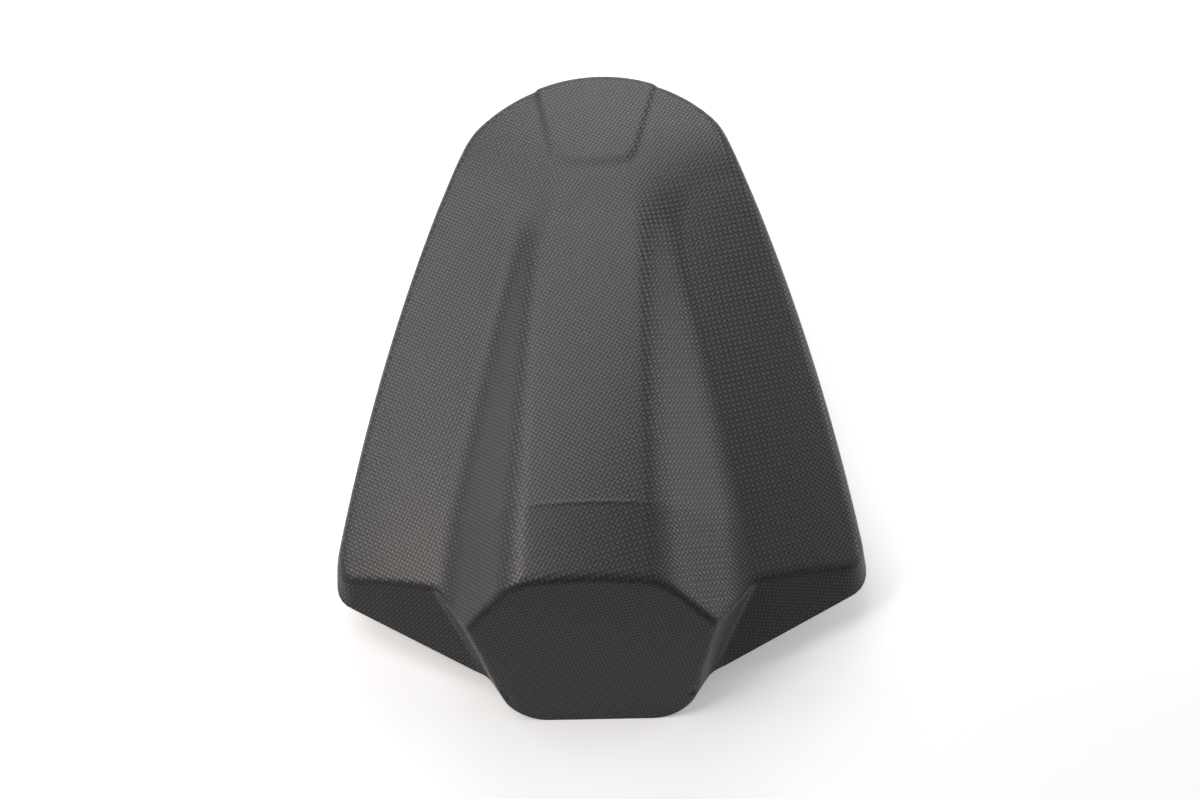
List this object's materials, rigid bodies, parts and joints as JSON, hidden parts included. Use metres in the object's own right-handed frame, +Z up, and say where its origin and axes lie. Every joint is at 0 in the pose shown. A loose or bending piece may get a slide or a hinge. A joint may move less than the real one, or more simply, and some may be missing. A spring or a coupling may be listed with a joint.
{
  "type": "motorbike seat cowl",
  "caption": "Matte carbon fibre cowl that replaces a motorbike's pillion seat: faceted hump, swept wings, open underside with hook tongue and latch striker.",
  "frame": {"origin": "centre of the bounding box in plan, on the plane that the chin edge and the tail rim stand on", "axes": "+X to the side, -Y towards the front face of the cowl, +Y towards the tail, +Z up"},
  "size_m": [0.2312, 0.298, 0.0677],
  "materials": {
    "carbon": "satin",
    "nylon": "matte",
    "insert_brass": "satin",
    "bracket_coat": "satin",
    "zinc_steel": "satin"
  },
  "bodies": {
    "root": {"cowl_shell": "carbon", "front_tongue": "nylon", "mounting_bosses": "nylon", "threaded_inserts": "insert_brass", "latch_bracket": "bracket_coat", "latch_striker": "zinc_steel", "striker_nuts": "zinc_steel", "bracket_screws": "zinc_steel"}
  },
  "joints": []
}
